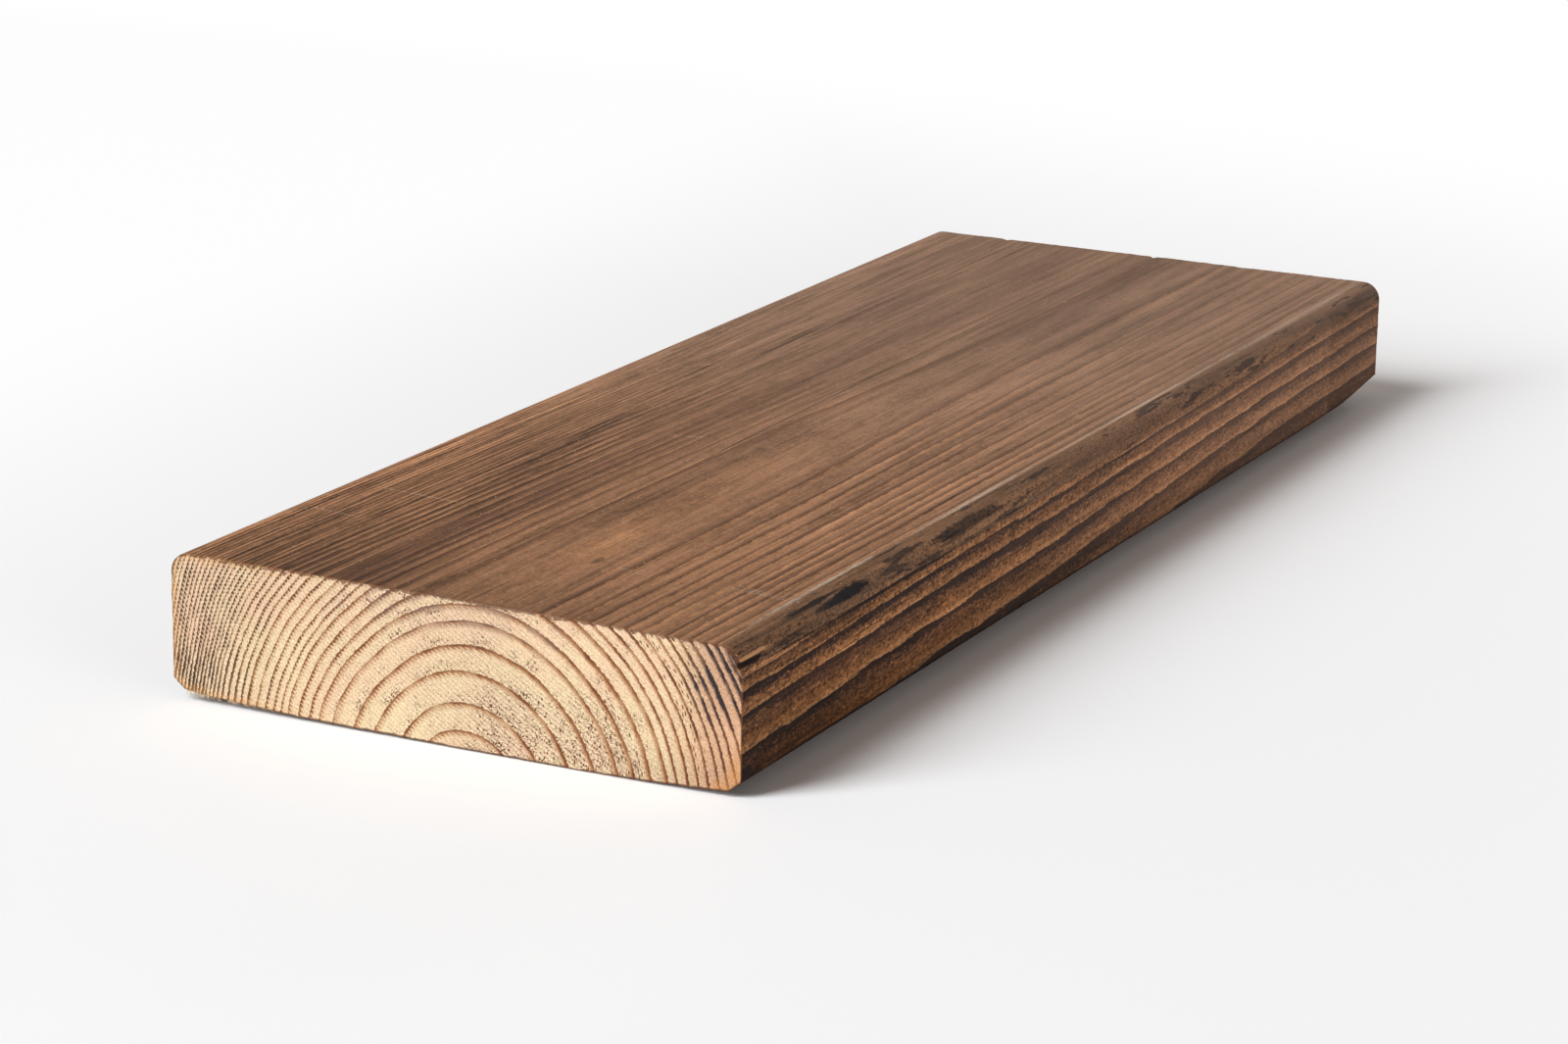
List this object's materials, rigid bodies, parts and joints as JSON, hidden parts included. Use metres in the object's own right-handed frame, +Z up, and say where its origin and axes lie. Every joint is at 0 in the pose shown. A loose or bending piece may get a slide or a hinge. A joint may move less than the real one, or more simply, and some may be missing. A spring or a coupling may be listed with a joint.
{
  "type": "decking board",
  "caption": "Short length of stained softwood decking board: planed flat walking face, rounded upper edges, bevelled lower edges, slightly bowed underside and square-sawn end grain.",
  "frame": {"origin": "middle of the underside's bearing land, half way along the board", "axes": "+X across the board's width, +Y along its length away from the front end, +Z up out of the walking face"},
  "size_m": [0.145, 0.4, 0.034],
  "materials": {
    "stained_pine": "brown-stained planed softwood with bare sawn ends, matt"
  },
  "bodies": {
    "root": {"decking_board": "stained_pine"}
  },
  "joints": []
}
